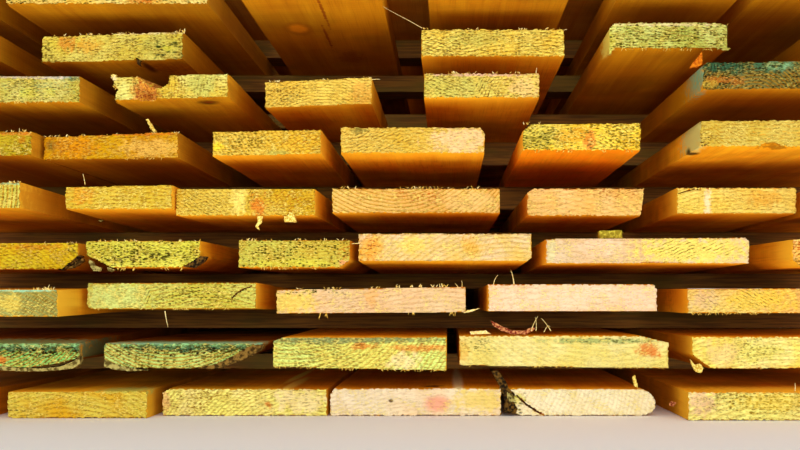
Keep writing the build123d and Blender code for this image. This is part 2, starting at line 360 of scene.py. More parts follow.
def sawn_face(name, light, dark, marks, front, front_light, edge):
    """The long faces of a board: streaked grain, darkened by air and rain, with painted light at the
    front.
    """
    material, tree, place, shader = start_material(name + " face")
    grain = use(tree, long_grain, {"Place": place, "Seed": 3.7 * seed_of(name)})
    colour = blend(tree, ramp(tree, grain["Streak"], 0.1, 0.9), light, dark)
    cloud = ramp(tree, mottle(tree, place, 0.016, 3.0), 0.42, 0.62, 0.0, 0.5)
    colour = blend(tree, cloud, colour, (206, 130, 14))
    shade = ramp(tree, mottle(tree, place, 0.009, 3.0), 0.5, 0.66, 0.0, 0.3)
    colour = blend(tree, shade, colour, (118, 84, 12))
    long_place = stretch(tree, place, (0.006, 0.018, 0.03))
    bands = ramp(tree, mottle(tree, long_place, 1.0, 3.0), 0.42, 0.66)
    colour = blend(tree, times(tree, bands, 0.22), colour, (146, 76, 12))
    colour = blend(tree, ramp(tree, grain["Fibre"], 0.5, 0.7, 0.0, 0.22), colour, (150, 78, 8))
    colour = blend(tree, ramp(tree, grain["Saw"], 0.3, 1.0, 0.0, 0.04), colour, umber)
    depth = add(tree, "SeparateXYZ", {0: place}).outputs[1]
    depth = plus(tree, depth, times(tree, grain["Streak"], 60))
    # Painted light: the faces turn brighter and yellower towards the front end, as if lit there.
    front_light_mask = ramp(tree, depth, front + 95, front + 20, 0.0, front_light)
    colour = blend(tree, front_light_mask, colour, (255, 184, 34))
    # Painted light: faces turned to the left or right are paler near the front end, as if lit there.
    facing = add(tree, "SeparateXYZ", {0: add(tree, "TexCoord").outputs["Normal"]}).outputs[0]
    side = ramp(tree, calc(tree, "ABSOLUTE", facing), 0.5, 0.7, 0.0, edge)
    side = times(tree, side, ramp(tree, depth, front + 110, front + 26))
    colour = blend(tree, side, colour, (244, 190, 54))
    colour = lay_marks(tree, place, colour, marks)
    height = plus(tree, grain["Fibre"], times(tree, grain["Saw"], 0.2))
    finish_material(tree, shader, colour, height, roughness=0.8, strength=0.3, depth=0.0006, gloss=dull)
    return material


def torn_wood(name):
    """The inside of a tear or crack: raw orange fibres along the board."""
    material, tree, place, shader = start_material(name + " torn")
    fibres = mottle(tree, stretch(tree, place, (0.8, 0.05, 0.8)), 1.0, 3.0)
    colour = blend(tree, ramp(tree, fibres, 0.35, 0.62), (168, 78, 6), honey)
    colour = blend(tree, ramp(tree, mottle(tree, place, 0.5), 0.62, 0.76), colour, butter)
    finish_material(tree, shader, colour, fibres, roughness=0.8, strength=0.8, depth=0.0015)
    return material


raw_tear = torn_wood("broken wood")

# Farther than any part of the stack reaches, in metres
far = 9

# Corners closer than this are one, and faces flatter than this are one; sharper edges stay sharp
merge_gap = 1e-5
flat_angle = radians(0.3)
sharp_angle = radians(38)

# Sizes of the grid that a board's copy is cut into, in metres: fine on the end that shows
end_cell = 0.0013
end_rows = (0.0008, 0.0022, 0.0045, 0.008)
near_depth = 0.26
near_row = 0.02
far_row = 0.08


def copy_of(node):
    """A copy of a node's solids with whole faces, and the box round them."""
    mesh = bmesh.new()
    mesh.from_mesh(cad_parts[node].data)
    bmesh.ops.remove_doubles(mesh, verts=mesh.verts, dist=merge_gap)
    bmesh.ops.dissolve_limit(mesh, angle_limit=flat_angle, verts=mesh.verts, edges=mesh.edges)
    low, high = [Vector(corner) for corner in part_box(node)]
    return mesh, low, high


def finish_copy(mesh, node, materials):
    """The rough copy as an object that stands for its node."""
    data = bpy.data.meshes.new(node + " sawn")
    mesh.to_mesh(data)
    mesh.free()
    data.set_sharp_from_angle(angle=sharp_angle)
    for material in materials:
        data.materials.append(material)
    piece = bpy.data.objects.new(node + "_wood", data)
    bpy.context.scene.collection.objects.link(piece)
    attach(piece, "root")
    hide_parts(node)


def region(mesh, low, high):
    """The faces whose middles lie between two places along Y, with their edges and corners."""
    faces = [face for face in mesh.faces if low < face.calc_center_median().y < high]
    edges = {edge for face in faces for edge in face.edges}
    return faces + list(edges) + list({vert for face in faces for vert in face.verts})


def slice_up(mesh, part, axis, places):
    """A region of the mesh cut across one axis at each place."""
    normal = Vector([float(axis == k) for k in range(3)])
    for place in places:
        part = bmesh.ops.bisect_plane(mesh, geom=part, dist=1e-7, plane_co=normal * place,
                                      plane_no=normal)["geom"]
    return part


def steps(low, high, step):
    """Evenly spaced places between two limits, without the limits."""
    count = max(1, round((high - low) / step))
    return [low + (high - low) * k / count for k in range(1, count)]


def cut_grid(mesh, low, high):
    """The fine grid near the front end, and ever coarser ones behind it."""
    front, back = low.y, high.y
    slice_up(mesh, region(mesh, front - 1, back + 1), 1, [front + end_rows[-1], front + near_depth])
    fine = steps(low.x, high.x, end_cell)
    tall = steps(low.z, high.z, end_cell)
    zones = [(front - 0.01, front + end_rows[-1], 1, [front + row for row in end_rows[:-1]]),
             (front + end_rows[-1], front + near_depth, 4,
              steps(front + end_rows[-1], front + near_depth, near_row)),
             (front + near_depth, back + 0.01, 12, steps(front + near_depth, back, far_row))]
    for start, end, share, rows in zones:
        part = region(mesh, start, end)
        part = slice_up(mesh, part, 0, fine[share - 1::share])
        part = slice_up(mesh, part, 2, tall[share - 1::share])
        slice_up(mesh, part, 1, rows)


# How far behind an end its edges crumble, in metres
crumble_depth = 0.009


def roughen(mesh, front, seed, wear):
    """Wood taken off unevenly: waves on the faces, pits on the end, crumbled edges round it.

    The depths are in millimetres, and so are the places that the noise is read at.
    """
    origin = Vector((seed * 0.731, seed * 0.317, seed * 0.577))
    for vert in mesh.verts:
        place = vert.co * per_metre + origin
        normal = vert.normal
        lengthwise = Vector((place.x * 0.1, place.y * 0.012, place.z * 0.1))
        depth = 0.18 + 0.3 * noise.noise(lengthwise)
        crumbs = 0.5 + 0.7 * noise.noise(place * 0.42)
        lumps = 0.5 + 0.7 * noise.noise(place * 0.09)
        along = abs(normal.y)
        near = max(0.0, 1 - (vert.co.y - front) / crumble_depth)
        on_end = near > 0.95 and along > 0.2
        on_corner = abs(normal.x) > 0.35 and abs(normal.z) > 0.35
        if on_end:
            depth = 0.5 * lumps + 0.45 * crumbs
        elif on_corner:
            depth += 0.5 * wear * crumbs
        if near > 0 and along < 0.93:
            spot = Vector((place.x, place.y * 0.3, place.z))
            torn_off = max(0.0, noise.noise(spot * 0.3)) + max(0.0, noise.noise(spot * 0.75))
            depth += wear * (0.1 + 3.4 * torn_off) * near * near
        vert.co -= normal * max(0.0, depth) / per_metre
        vert.co.z = max(0.0, vert.co.z)


# How far back the tears reach, in millimetres
tear_length = 90


def is_torn(face, corner, torn):
    """Whether a face lies inside a board's tear, whose box across and up is in millimetres."""
    left, down, right, up = torn
    place = (face.calc_center_median() - corner) * per_metre
    inside = left < place.x < right and down < place.z < up and 0.3 < place.y < tear_length
    flat = abs(face.normal.z) > 0.97
    return inside and not flat


def board_node(course, board):
    """The node of a board, by its course from the floor and its place from the left."""
    return f"course_{course}_board_{board}"


# The order of a board's materials
end_slot, face_slot, torn_slot = 0, 1, 2

# A face that turns this far to the front or back is an end, and so is the skin behind it, in metres
end_turn = 0.6
end_skin = 0.0009

# How deep the marks of an end go into its material, in millimetres: far past the torn skin
mark_depth = 1000


def dress_board(course, board, pale, deep, pith=(0, -60), ring=3.0, lines=0.45, grit=0.7,
                grit_tint=(116, 88, 16), fibre=(4, 3.0, 0.45), dust=0.5, light=amber, dark=toffee,
                front_light=0.5, edge=0.55, wear=1.0, torn=None, marks=(), face_marks=()):
    """One board with its grid, its unevenness and its materials.

    Marks are given by pixels of the photograph on the board's own end, with half sizes in
    millimetres. The pith is given in millimetres from the middle of the end, and marks on the long
    faces from the board's lower left front corner. A fibre is an angle, a spacing and a strength.
    The faces get painted light near the front end, and paler sides near the end as far as edge
    allows; some marks on the long faces are painted light as well.
    """
    node = board_node(course, board)
    mesh, low, high = copy_of(node)
    cut_grid(mesh, low, high)
    mesh.normal_update()
    for face in mesh.faces:
        face.smooth = True
        if abs(face.normal.y) > end_turn or face.calc_center_median().y < low.y + end_skin:
            face.material_index = end_slot
        elif torn and is_torn(face, low, torn):
            face.material_index = torn_slot
        else:
            face.material_index = face_slot
    roughen(mesh, low.y, seed_of(node), wear)
    corner = low * per_metre
    middle = (low + high) * per_metre / 2
    pith_place = (middle.x + pith[0], 0, middle.z + pith[1])
    end_marks = [(kind, tint, seen(u, v, low.y) * per_metre, (across, mark_depth, up), strength)
                 for kind, tint, u, v, across, up, strength in marks]
    long_marks = [(kind, tint, corner + Vector(centre), size, strength)
                  for kind, tint, centre, size, strength in face_marks]
    finish_copy(mesh, node, [
        end_grain(node, pale, deep, pith_place, ring, lines, grit, grit_tint, fibre, end_marks, dust),
        sawn_face(node, light, dark, long_marks, corner.y, front_light, edge),
        raw_tear])


# Each board with the tones of its end, its rings, its specks and the marks that it shows
# Painted light: paler face tones for the lowest boards, painted as if light fell on them.
sunlit = {"light": (255, 176, 30), "dark": (240, 140, 20)}
dress_board(1, 1, (196, 168, 76), (186, 150, 50), light=toffee, dark=chestnut, front_light=0, edge=0)
dress_board(
    1, 2, (226, 206, 78), (222, 172, 34), ring=4.5, pith=(-10, -110), lines=0.4, grit=0.35,
    fibre=(-4, 4.0, 0.35),
    marks=[("wash", sage, 110, 390, 24, 3, 0.7), ("blots", soot, 21, 410, 8, 5, 1.0)],
    face_marks=[("wash", sage, (105, 10, 25), (26, 30, 6), 0.8)])
dress_board(
    1, 3, (255, 250, 126), (255, 240, 152), pith=(60, -90), ring=3.5, lines=0.4, **sunlit, grit=0.4,
    marks=[
        ("wash", pink, 164, 402, 5, 13, 0.6), ("specks", (150, 106, 10), 198, 401, 27, 11, 0.9),
        (-8, mustard, 240, 398, 40, 9, 0.6), ("wash", cream, 302, 400, 24, 13, 0.7),
        ("wash", orange, 268, 405, 4, 3, 0.8)],
    face_marks=[
        # Painted light: these two pale strips on the top face stand for light falling through gaps above.
        ("knot", butter, (116, 50, 25), (6, 80, 6), 1.0),
        ("knot", butter, (105, 150, 25), (5, 90, 6), 1.0)])
dress_board(
    1, 4, (252, 234, 196), (250, 220, 172), pith=(20, -160), ring=4, lines=0.12, **sunlit, grit=0.1,
    fibre=(2, 4.0, 0.12),
    marks=[
        ("knot", (248, 160, 128), 437, 404, 13, 8, 0.8), ("wash", butter, 480, 400, 25, 11, 0.7),
        ("wash", umber, 391, 401, 2.2, 1.6, 0.9)],
    face_marks=[
        # Painted light: the long pale strip on the top face stands for light falling through a gap above.
        ("knot", (255, 238, 172), (120, 90, 26), (5.5, 150, 6), 1.0),
        ("wash", umber, (96, 22, 26), (9, 9, 6), 0.9)])
dress_board(
    1, 5, (254, 240, 194), (252, 234, 182), torn=(9, 2, 36, 21), pith=(-90, 30), ring=4, lines=0.14,
    **sunlit, grit=0.1, fibre=(-30, 4.0, 0.12),
    marks=[("blots", soot, 512, 402, 11, 13, 1.0), ("wash", lime, 519, 399, 5, 4, 0.6)])
dress_board(
    1, 6, (255, 250, 136), (255, 244, 140), pith=(-40, -120), ring=5, lines=0.4, **sunlit, grit=0.35,
    fibre=(-5, 4.0, 0.25),
    marks=[
        ("wash", (246, 196, 160), 702, 402, 13, 12, 0.7), ("specks", olive, 765, 401, 55, 13, 1.0),
        ("wash", (248, 206, 60), 774, 402, 34, 9, 0.5), ("wash", honey, 790, 392, 70, 1.6, 0.6)],
    # Painted light: the broad orange patch on the top face stands for light falling on it.
    face_marks=[("wash", (244, 176, 44), (112, 20, 26), (110, 34, 6), 0.9)])


# Second course: two bark-edged slabs on the left, sawn from the outside of the log, then three
# thicker boards. The slabs have gone grey-green, with dark specks of mould.
slab = {"ring": 3.2, "lines": 0.8, "grit": 0.8, "grit_tint": moss, "light": chestnut, "dark": umber,
        "edge": 0.1}


def mould(u, across, up):
    """The dark and green layers of mould on a slab's end, round a pixel across."""
    layers = [("wash", (54, 92, 60), 346, 0.95), ("specks", soot, 352, 1.0), ("blots", soot, 350, 1.0),
              ("wash", (150, 210, 140), 340.6, 1.0)]
    return [(kind, tint, u, v, across, up, strength) for kind, tint, v, strength in layers]


dress_board(
    2, 1, (154, 232, 132), (132, 216, 112), pith=(0, 90), **slab,
    marks=mould(35, 62, 6) + [("wash", orange, 2, 360, 6, 4, 0.8)],
    face_marks=[
        ("wash", mint, (105, 12, 24), (120, 40, 5), 0.95),
        ("wash", (98, 116, 76), (210, 40, 12), (6, 70, 16), 0.9)])
dress_board(
    2, 2, (194, 228, 128), (168, 204, 106), pith=(-12, 90), **slab,
    marks=mould(185, 76, 5),
    face_marks=[("wash", mint, (75, 12, 24), (90, 40, 5), 0.95)])
dress_board(
    2, 3, (220, 240, 126), (230, 228, 108), pith=(-60, 90), ring=4, lines=0.5, grit=0.5,
    marks=[
        ("wash", (108, 126, 84), 350, 340, 100, 3.6, 0.8), (-14, moss, 312, 347, 40, 8, 0.9),
        ("wash", orange, 364, 346, 12, 3, 0.75), ("wash", orange, 420, 348, 28, 3.4, 0.75),
        ("specks", moss, 315, 358, 50, 13, 0.5), ("wash", cream, 405, 361, 16, 8, 0.7)])
dress_board(
    2, 4, (240, 228, 146), (234, 218, 116), pith=(40, 140), ring=5, lines=0.2, grit=0.15,
    fibre=(0, 4.0, 0.12),
    marks=[
        ("wash", (156, 170, 96), 600, 341, 52, 2.4, 0.8), ("specks", slate, 610, 341, 40, 3, 0.9),
        (28, rust, 649, 350, 15, 6, 1.0), ("wash", orange, 649, 350, 14, 6, 0.8),
        ("wash", honey, 464, 352, 5, 10, 0.4), ("specks", moss, 480, 346, 14, 8, 0.7)])
dress_board(
    2, 5, (252, 244, 150), (248, 230, 96), pith=(-30, -140), ring=5, lines=0.3, grit=0.2,
    marks=[
        ("wash", lime, 752, 352, 30, 11, 0.45), ("specks", olive, 750, 350, 28, 13, 0.7),
        ("wash", (252, 214, 140), 722, 352, 16, 12, 0.6)])


# Third course: five boards on the stickers of the second, with paler, freshly cut ends, some of
# them almost white, and fuzz along the top edges where the saw came out.
dress_board(
    3, 1, (142, 148, 80), (132, 134, 66), pith=(40, -90), ring=3.5, lines=0.35, grit=0.3,
    fibre=(42, 2.6, 0.3), edge=0.8,
    marks=[
        ("wash", mint, 25, 290, 40, 1.6, 0.9), (50, olive, 38, 305, 28, 11, 0.8),
        ("wash", butter, 8, 304, 12, 8, 0.5)])
dress_board(
    3, 2, (204, 207, 96), (199, 194, 70), torn=(133, 3, 155, 24.4), pith=(30, -130), ring=4, lines=0.4,
    grit=0.4,
    marks=[
        ("wash", (214, 226, 126), 116, 297, 32, 14, 0.85), (66, moss, 147.5, 297, 4, 12, 1.0),
        ("specks", olive, 120, 296, 34, 13, 0.3), ("specks", moss, 200, 295, 48, 13, 0.9)])
dress_board(
    3, 3, (232, 200, 150), (228, 188, 138), pith=(60, -150), ring=5, lines=0.2, grit=0.15,
    fibre=(3, 4.0, 0.15),
    marks=[
        ("wash", (246, 208, 72), 290, 302, 24, 12, 0.7), ("specks", moss, 305, 291, 36, 4, 1.0),
        (4, chestnut, 340, 304, 36, 7, 0.6), ("wash", honey, 371, 296, 6, 8, 0.4)])
dress_board(
    3, 4, (242, 212, 174), (240, 200, 158), pith=(0, -200), ring=6, lines=0.1, grit=0.1,
    fibre=(0, 5.0, 0.06),
    marks=[("wash", (250, 206, 170), 640, 300, 18, 12, 0.5), ("wash", honey, 486, 298, 2.4, 14, 0.7)])
dress_board(
    3, 5, (238, 206, 112), (234, 182, 98), pith=(20, -120), ring=4, lines=0.3, grit=0.2, front_light=0.8,
    marks=[
        ("wash", (248, 206, 64), 764, 299, 34, 11, 0.7), (-25, (110, 64, 8), 756, 298, 22, 11, 1.0),
        ("wash", lilac, 705, 300, 13, 10, 0.25), (-35, olive, 712, 300, 10, 9, 0.6)],
    # Painted light: the pale patch on the left side near the end stands for light falling there.
    face_marks=[("wash", (250, 168, 30), (0, 25, 12), (6, 50, 20), 0.9)])


# Fourth course: six boards, several of which keep a wane, the log's round edge, along the lower
# corners. The bark came off with the first cuts, apart from a few flakes.
dress_board(
    4, 1, (244, 236, 54), (236, 210, 32), pith=(-20, -100), ring=4, lines=0.4, grit=0.5,
    marks=[
        ("wash", orange, 40, 247, 26, 3, 0.45), ("blots", soot, 72, 248, 5, 6, 1.0),
        ("specks", ember, 30, 252, 40, 6, 0.35)])
dress_board(
    4, 2, (234, 234, 94), (210, 204, 70), grit=1.0, grit_tint=moss, lines=0.15, fibre=(0, 3, 0.1),
    edge=0.15,
    marks=[("blots", soot, 140, 258, 44, 8, 0.9), ("specks", moss, 150, 250, 60, 12, 0.6)])
dress_board(
    4, 3, (196, 194, 80), (202, 184, 66), grit=0.95, grit_tint=moss, lines=0.3, pith=(20, 90), ring=3,
    fibre=(0, 3, 0.2),
    marks=[
        ("wash", lime, 290, 263, 44, 4, 0.6), ("wash", pink, 346, 264, 7, 3.4, 0.8),
        ("specks", ember, 346, 252, 10, 9, 0.7)])
dress_board(
    4, 4, (230, 200, 154), (226, 188, 98), pith=(60, -110), ring=4.5, lines=0.4, grit=0.15,
    fibre=(0, 4.0, 0.1),
    marks=[
        ("wash", toffee, 370, 248, 10, 14, 0.6), ("specks", rust, 370, 248, 11, 14, 0.8),
        ("wash", (246, 210, 76), 413, 244, 16, 8, 0.6), ("wash", honey, 470, 246, 8, 11, 0.5),
        (62, mustard, 478, 246, 22, 12, 0.6)])
dress_board(
    4, 5, (222, 194, 154), (222, 182, 132), pith=(-20, 120), ring=5, lines=0.15, grit=0.12,
    fibre=(0, 4.0, 0.08),
    marks=[
        ("wash", (250, 222, 92), 694, 250, 56, 13, 0.85), (22, olive, 690, 248, 44, 10, 1.0),
        ("wash", (220, 214, 150), 551, 250, 4, 14, 0.6), ("wash", chestnut, 660, 263.5, 24, 1.8, 0.85),
        ("wash", (252, 214, 180), 600, 246, 22, 10, 0.4)],
    # Painted light: the pale patch on the left side near the end stands for light falling there.
    face_marks=[("wash", (250, 180, 40), (0, 12, 12), (6, 44, 20), 0.9)])
dress_board(
    4, 6, peach, honey,
    marks=[("specks", ember, 795, 250, 8, 12, 1.0)])


# Fifth course: the third board has a ring boundary with an orange heart, the fourth shows the
# rings in U-shaped arcs from under the log's middle.
# Painted shade: darker face tones, with no painted light at the front and little on the sides, for boards
# whose faces lie in shade.
shaded = {"light": (224, 156, 20), "dark": (190, 116, 12), "front_light": 0.0, "edge": 0.2}
dress_board(
    5, 1, (220, 212, 94), (200, 196, 78), pith=(-110, 10), ring=4, lines=0.9, grit=0.4,
    marks=[(84, moss, 8, 197, 20, 15, 0.9), ("wash", mint, 8, 183, 20, 1.6, 0.6)],
    face_marks=[("wash", (206, 120, 20), (160, 60, 12), (8, 80, 16), 0.5)])
dress_board(
    5, 2, (218, 190, 68), (212, 180, 52), fibre=(1, 3.2, 0.55), pith=(0, -160), ring=4, lines=0.4,
    grit=0.4, grit_tint=(140, 102, 14),
    marks=[("wash", honey, 82, 195, 11, 9, 0.55), ("specks", ember, 82, 195, 11, 9, 0.6)])
dress_board(
    5, 3, (222, 192, 74), (210, 168, 34), pith=(-95, -60), ring=3.4, lines=0.4, grit=0.4,
    marks=[
        (-26, olive, 200, 202, 26, 13, 0.9), ("wash", (248, 222, 110), 238, 200, 7, 15, 0.85),
        (62, umber, 252, 200, 5, 14, 1.0), ("wash", orange, 258, 206, 7, 12, 0.75),
        (32, chestnut, 286, 200, 26, 14, 1.0)])
dress_board(
    5, 4, (238, 194, 106), (234, 176, 90), pith=(-19, 88), ring=3.4, lines=0.75, grit=0.3,
    fibre=(0, 4.0, 0.08), front_light=0.9,
    marks=[("specks", ember, 418, 195, 24, 9, 0.8), ("wash", peach, 470, 202, 26, 10, 0.5)])
dress_board(
    5, 5, (244, 204, 128), (240, 190, 100), pith=(-40, -150), ring=5, lines=0.25, grit=0.25,
    fibre=(10, 4.0, 0.15),
    marks=[("specks", chestnut, 618, 192, 22, 7, 0.7)],
    face_marks=[("wash", orange, (4, 20, 12), (8, 60, 16), 0.5)])
dress_board(
    5, 6, (242, 226, 120), (242, 214, 90), fibre=(0, 3.4, 0.4), pith=(10, -170), ring=4, lines=0.3,
    grit=0.2, front_light=0.7,
    marks=[
        ("wash", cream, 708, 202, 3.6, 13, 1.0), ("wash", honey, 764, 198, 15, 9, 0.55),
        (0, chestnut, 755, 202, 40, 12, 0.5)])
dress_board(5, 7, butter, honey)


# Sixth course: six boards, laid unevenly, so that the ends on the right stand well out of the
# stack. Two ends on the left are heartwood, darker and more orange than the rest.
dress_board(
    6, 1, (188, 170, 36), (178, 146, 18), pith=(40, -90), grit=0.5, grit_tint=(132, 96, 8), **shaded,
    marks=[
        ("wash", orange, 22, 132.5, 26, 2.6, 0.7), ("wash", ember, 22, 140, 4, 4, 0.5),
        ("specks", moss, 30, 148, 18, 9, 0.7)])
dress_board(
    6, 2, (214, 162, 10), (204, 138, 4), pith=(24, -110), ring=3.6, lines=0.5, grit=0.5,
    grit_tint=(150, 90, 10), dust=0.25, **shaded,
    marks=[
        ("wash", slate, 52, 146, 6, 6, 0.7), ("wash", toffee, 72, 145, 22, 12, 0.5),
        ("specks", rust, 72, 145, 22, 12, 0.6), ("wash", (244, 196, 92), 150, 148, 30, 9, 0.6),
        ("wash", orange, 112, 133.5, 72, 2, 0.7)])
dress_board(
    6, 3, (237, 204, 84), (229, 184, 51), pith=(80, 60), ring=3.4, lines=0.5, grit=0.4,
    marks=[
        (30, chestnut, 300, 143, 22, 11, 0.9), ("specks", olive, 240, 143, 28, 13, 0.9),
        ("wash", (250, 214, 50), 218, 146, 5, 4.5, 0.9), ("wash", sage, 276, 153, 11, 3.4, 0.6)])
dress_board(
    6, 4, (230, 192, 82), (222, 180, 54), pith=(-40, -120), ring=4, lines=0.4, grit=0.3, front_light=0.7,
    marks=[
        (27, umber, 374, 141, 34, 13, 0.9), ("wash", slate, 359, 130.5, 7, 3, 0.65),
        ("wash", (252, 206, 150), 462, 140, 28, 15, 0.8), (12, mustard, 425, 140, 28, 11, 0.6)])
dress_board(
    6, 5, (254, 226, 86), (246, 202, 50), grit=0.7, grit_tint=moss, light=(255, 150, 14),
    dark=(244, 120, 8), front_light=0.1,
    marks=[
        ("wash", sage, 536, 138, 22, 13, 0.4), ("blots", moss, 536, 138, 22, 14, 0.5),
        ("specks", moss, 536, 138, 24, 14, 0.8), ("wash", (230, 112, 50), 589, 140, 6.5, 9, 0.75),
        ("wash", honey, 574, 136, 18, 7, 0.5), ("specks", olive, 620, 138, 24, 14, 0.9)])
dress_board(
    6, 6, (212, 188, 86), (204, 172, 58), pith=(-60, -150), ring=5, lines=0.3, grit=0.3, front_light=0.1,
    marks=[
        (-36, mustard, 728, 134, 24, 13, 1.0), ("specks", umber, 704, 141, 11, 9, 0.9),
        ("wash", orange, 698, 134, 1.6, 13, 0.7), (0, honey, 780, 134, 26, 11, 0.6)],
    face_marks=[
        ("wash", (196, 190, 110), (0, 20, 14), (8, 44, 20), 0.85),
        ("wash", umber, (66, 6, 0), (14, 10, 5), 0.6), ("knot", soot, (3, 40, 0), (7, 9, 6), 0.9)])


# Seventh course, with the broken board: its upper corner was split off and the wood torn out
# behind it, down to raw orange fibres.
dress_board(
    7, 1, (218, 210, 120), (190, 180, 68), grit=0.65, grit_tint=moss, lines=0.2, **shaded,
    marks=[
        ("wash", lilac, 40, 77, 46, 1.6, 0.8), ("wash", teal, 73, 78.5, 7, 3, 0.75),
        ("wash", lime, 28, 93, 10, 5, 0.6), ("wash", lime, 50, 92, 7, 5, 0.5),
        ("specks", teal, 40, 85, 40, 10, 0.5)])
dress_board(
    7, 2, (236, 234, 130), (226, 196, 66), wear=1.4, torn=(12, 1, 56, 26), **shaded, lines=0.2,
    pith=(0, -140),
    marks=[
        ("wash", orange, 141, 90, 9, 14, 0.7), ("wash", (176, 82, 8), 151, 96, 9, 8, 0.85),
        ("wash", cream, 113, 76, 5, 5, 0.9), (86, chestnut, 176, 87, 10, 13, 0.8),
        ("wash", sage, 201, 85, 14, 11, 0.6), (80, moss, 203, 85, 14, 11, 0.6)],
    face_marks=[
        ("knot", umber, (86, 20, 0), (11, 11, 5), 1.0), ("knot", rust, (87, 19, 0), (6, 6, 5), 0.6)])
dress_board(
    7, 3, (252, 224, 100), (242, 200, 72), fibre=(0, 2.6, 0.5), grit=0.4,
    marks=[("wash", (240, 170, 66), 362, 93, 13, 13, 0.6), ("specks", umber, 285, 92, 20, 13, 0.8)])
dress_board(
    7, 4, (238, 230, 126), (240, 214, 92), pith=(20, -90), ring=3, front_light=0.9,
    marks=[
        ("wash", sage, 452, 86, 32, 14, 0.5), (-20, moss, 446, 86, 26, 13, 1.0),
        (60, umber, 489, 87, 14, 13, 1.0), ("wash", (250, 206, 134), 524, 86, 15, 12, 0.6),
        ("wash", (240, 180, 160), 480, 74.5, 60, 1.5, 0.7)])
dress_board(
    7, 5, (94, 100, 54), (68, 72, 32), pith=(-62, -30), ring=3, lines=0.5, grit=0.9,
    grit_tint=(48, 42, 10), dust=0.2, **shaded,
    marks=[
        ("wash", orange, 722, 80, 18, 4, 0.4), ("wash", (206, 170, 60), 706, 84, 12, 4, 0.6),
        ("wash", (44, 88, 60), 724, 66, 30, 7, 0.95), (90, soot, 722, 66, 28, 7, 1.0),
        ("wash", (64, 104, 70), 772, 66, 24, 6, 0.9), ("wash", (140, 186, 132), 779, 66, 11, 3.4, 0.8),
        ("wash", (34, 60, 38), 778, 66, 6, 1.6, 0.9), ("blots", soot, 703, 74, 5, 5, 1.0),
        ("wash", mint, 750, 60.2, 54, 1.2, 0.6)],
    face_marks=[
        ("wash", (110, 160, 122), (0, 22, 14), (8, 36, 14), 0.9),
        ("wash", mustard, (0, 80, 10), (6, 60, 14), 0.6)])


# Eighth course: five boards, one short of a full course, with a wide gap left of the middle. Two
# ends are greyed at the corners by damp.
dress_board(8, 1, butter, straw, **shaded)
dress_board(
    8, 2, (236, 224, 106), (224, 202, 66), lines=0.25, fibre=(3, 3.0, 0.4), wear=1.2, **shaded,
    marks=[
        ("wash", orange, 67, 43, 10, 8, 0.6), ("wash", honey, 88, 46, 13, 7, 0.65),
        ("specks", moss, 46, 52, 8, 10, 0.9), (9, umber, 128, 43, 24, 7, 0.9),
        ("wash", sage, 162, 44, 24, 12, 0.45), ("blots", (54, 64, 16), 164, 51, 22, 10, 1.0),
        ("wash", lime, 168, 48, 5, 2.6, 0.9), ("wash", cream, 112, 33, 72, 1.4, 0.7)],
    face_marks=[
        ("knot", umber, (94, 28, 0), (5, 24, 5), 1.0), ("wash", rust, (112, 30, 0), (26, 18, 5), 0.4)])
dress_board(
    8, 3, (255, 242, 114), (252, 218, 80), pith=(30, -150), ring=3.6, lines=0.5,
    marks=[
        (-14, umber, 446, 43, 28, 15, 1.0), ("wash", sage, 478, 38, 26, 8, 0.5),
        (2, mustard, 545, 43, 26, 13, 0.7)])
dress_board(
    8, 4, (226, 232, 130), (190, 196, 86), grit=0.9, grit_tint=moss, lines=0.2, wear=1.4,
    fibre=(1, 2.4, 0.7), **shaded,
    marks=[
        ("blots", soot, 686, 37, 5, 6, 0.9), ("specks", moss, 660, 33, 50, 8, 0.5),
        (1, moss, 665, 37, 62, 12, 0.8), ("wash", cream, 665, 24.5, 60, 1.6, 0.6),
        ("wash", lime, 610, 40, 5, 15, 0.5)],
    # Painted light: the pale patch on the left side near the end stands for light on the rounded corner.
    face_marks=[("wash", (222, 200, 84), (0, 8, 14), (6, 30, 24), 0.9)])
dress_board(8, 5, butter, straw, **shaded)


# Ninth course, at the photograph's upper edge: six boards of which only the undersides and one
# lower edge show, so the rest of each end is plain sawn wood.
dress_board(9, 1, butter, straw, **shaded)
dress_board(
    9, 2, (252, 230, 136), (250, 204, 80), grit=0.8, grit_tint=moss, **shaded,
    marks=[("specks", soot, 22, 3, 16, 5, 1.0), ("wash", orange, 142, 1, 16, 3, 0.8)])
dress_board(
    9, 3, butter, straw, **shaded,
    face_marks=[
        ("knot", chestnut, (38, 100, 0), (14, 22, 5), 0.8),
        ("knot", toffee, (38, 100, 0), (10, 15, 5), 0.8), ("wash", rust, (71, 45, 0), (1.6, 50, 5), 0.8),
        ("wash", rust, (64, 130, 0), (1.6, 45, 5), 0.8), ("wash", rust, (80, 210, 0), (14, 26, 5), 0.4)])
for board in (4, 5, 6):
    dress_board(9, board, butter, straw, **shaded)


# The top course, above the photograph: six plain sound boards that close the stack. They share
# one node, and lie on the last row of stickers.
def rough_copy(node, columns, rows, seed):
    """A copy of a node of many like pieces, cut into an even grid and made uneven."""
    mesh, low, high = copy_of(node)
    part = slice_up(mesh, region(mesh, -far, far), 0, steps(low.x, high.x, columns))
    slice_up(mesh, part, 1, steps(low.y, high.y, rows))
    mesh.normal_update()
    for face in mesh.faces:
        face.smooth = True
    roughen(mesh, -far, seed, wear=0.8)
    return mesh


top_mesh = rough_copy("top_course_boards", columns=0.008, rows=0.08, seed=11)
for face in top_mesh.faces:
    face.material_index = face_slot if abs(face.normal.y) < end_turn else end_slot
finish_copy(top_mesh, "top_course_boards", [
    end_grain("top course", butter, straw, pith=(0, 0, 300), ring=4.0, lines=0.4, grit=0.5,
              grit_tint=olive, fibre=(3, 3.0, 0.3), marks=[], dust=0.5),
    sawn_face("top course", (238, 176, 62), (216, 144, 36), marks=[], front=-far * per_metre,
              front_light=0.0, edge=0.0)])


